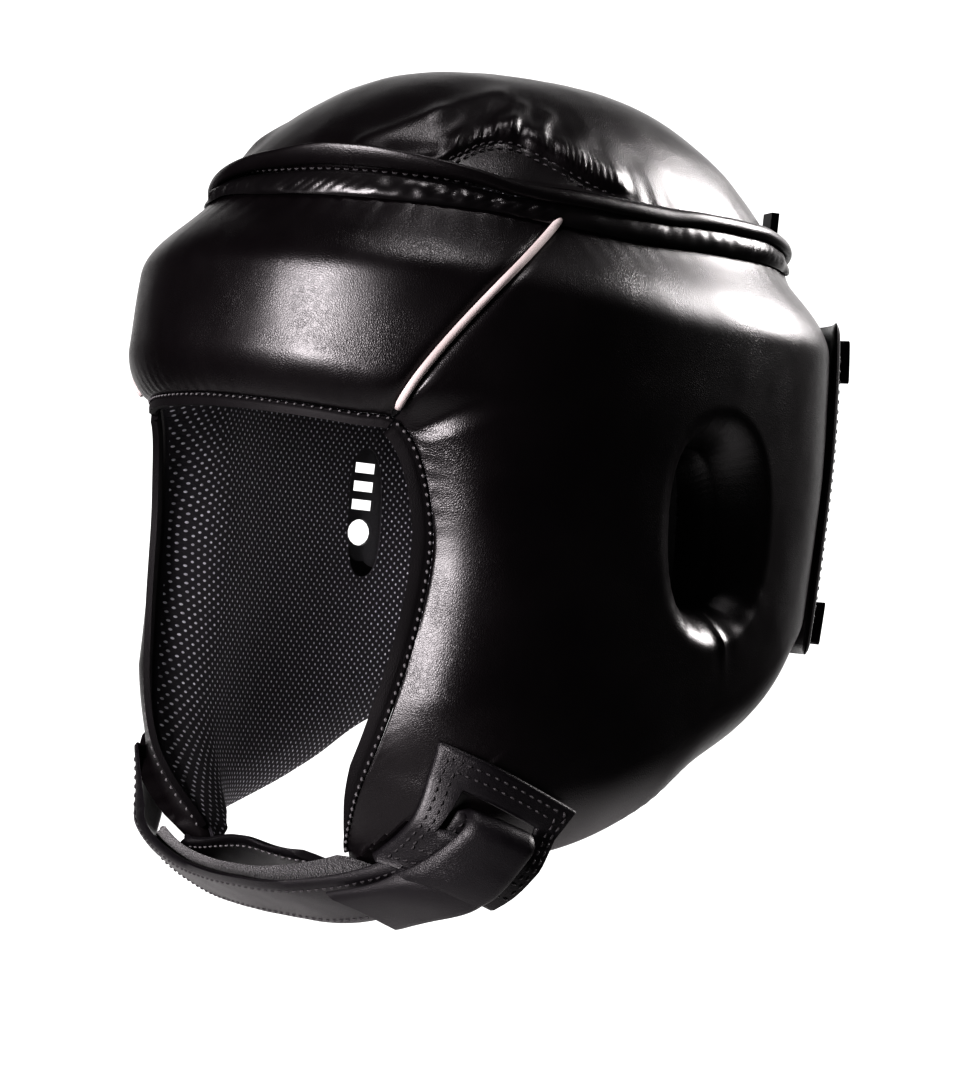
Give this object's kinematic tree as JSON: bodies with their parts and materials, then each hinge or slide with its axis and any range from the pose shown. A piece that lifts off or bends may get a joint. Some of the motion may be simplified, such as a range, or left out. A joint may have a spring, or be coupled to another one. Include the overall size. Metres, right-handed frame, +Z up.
{
  "type": "head guard",
  "caption": "Padded leather boxing head guard with ear openings, a domed crown pad, white piping, a chin strap folded through a keeper, and an elastic rear closure.",
  "frame": {"origin": "top of the hollow for the head, under the middle of the crown pad, where the guard sits on the head", "axes": "+Z up through the crown; the face opening looks along -Y; +X is the wearer's left"},
  "size_m": [0.2018, 0.2393, 0.2733],
  "materials": {
    "leather": "semi-gloss, fine grain",
    "white_piping": "satin",
    "dotted_mesh": "matt mesh with small light-grey dots",
    "loop_tape": "fuzzy loop pile",
    "elastic": "ribbed weave",
    "ear_piece": "satin"
  },
  "bodies": {
    "root": {"brow_binding": "leather", "chin_band": "leather", "chin_strap": "leather", "collar_welt": "leather", "crown_collar": "leather", "crown_pad": "leather", "crown_tab": "leather", "face_binding_left": "leather", "face_binding_right": "leather", "forehead_pad": "leather", "rear_base": "leather", "rear_tab_bottom": "leather", "rear_tab_top": "leather", "side_pad_left": "leather", "side_pad_right": "leather", "strap_keeper": "leather", "piping_left": "white_piping", "piping_right": "white_piping", "side_lining_left": "dotted_mesh", "side_lining_right": "dotted_mesh", "chin_loop_band": "loop_tape", "rear_elastic": "elastic", "ear_grille_left": "ear_piece", "ear_grille_right": "ear_piece"}
  },
  "joints": []
}
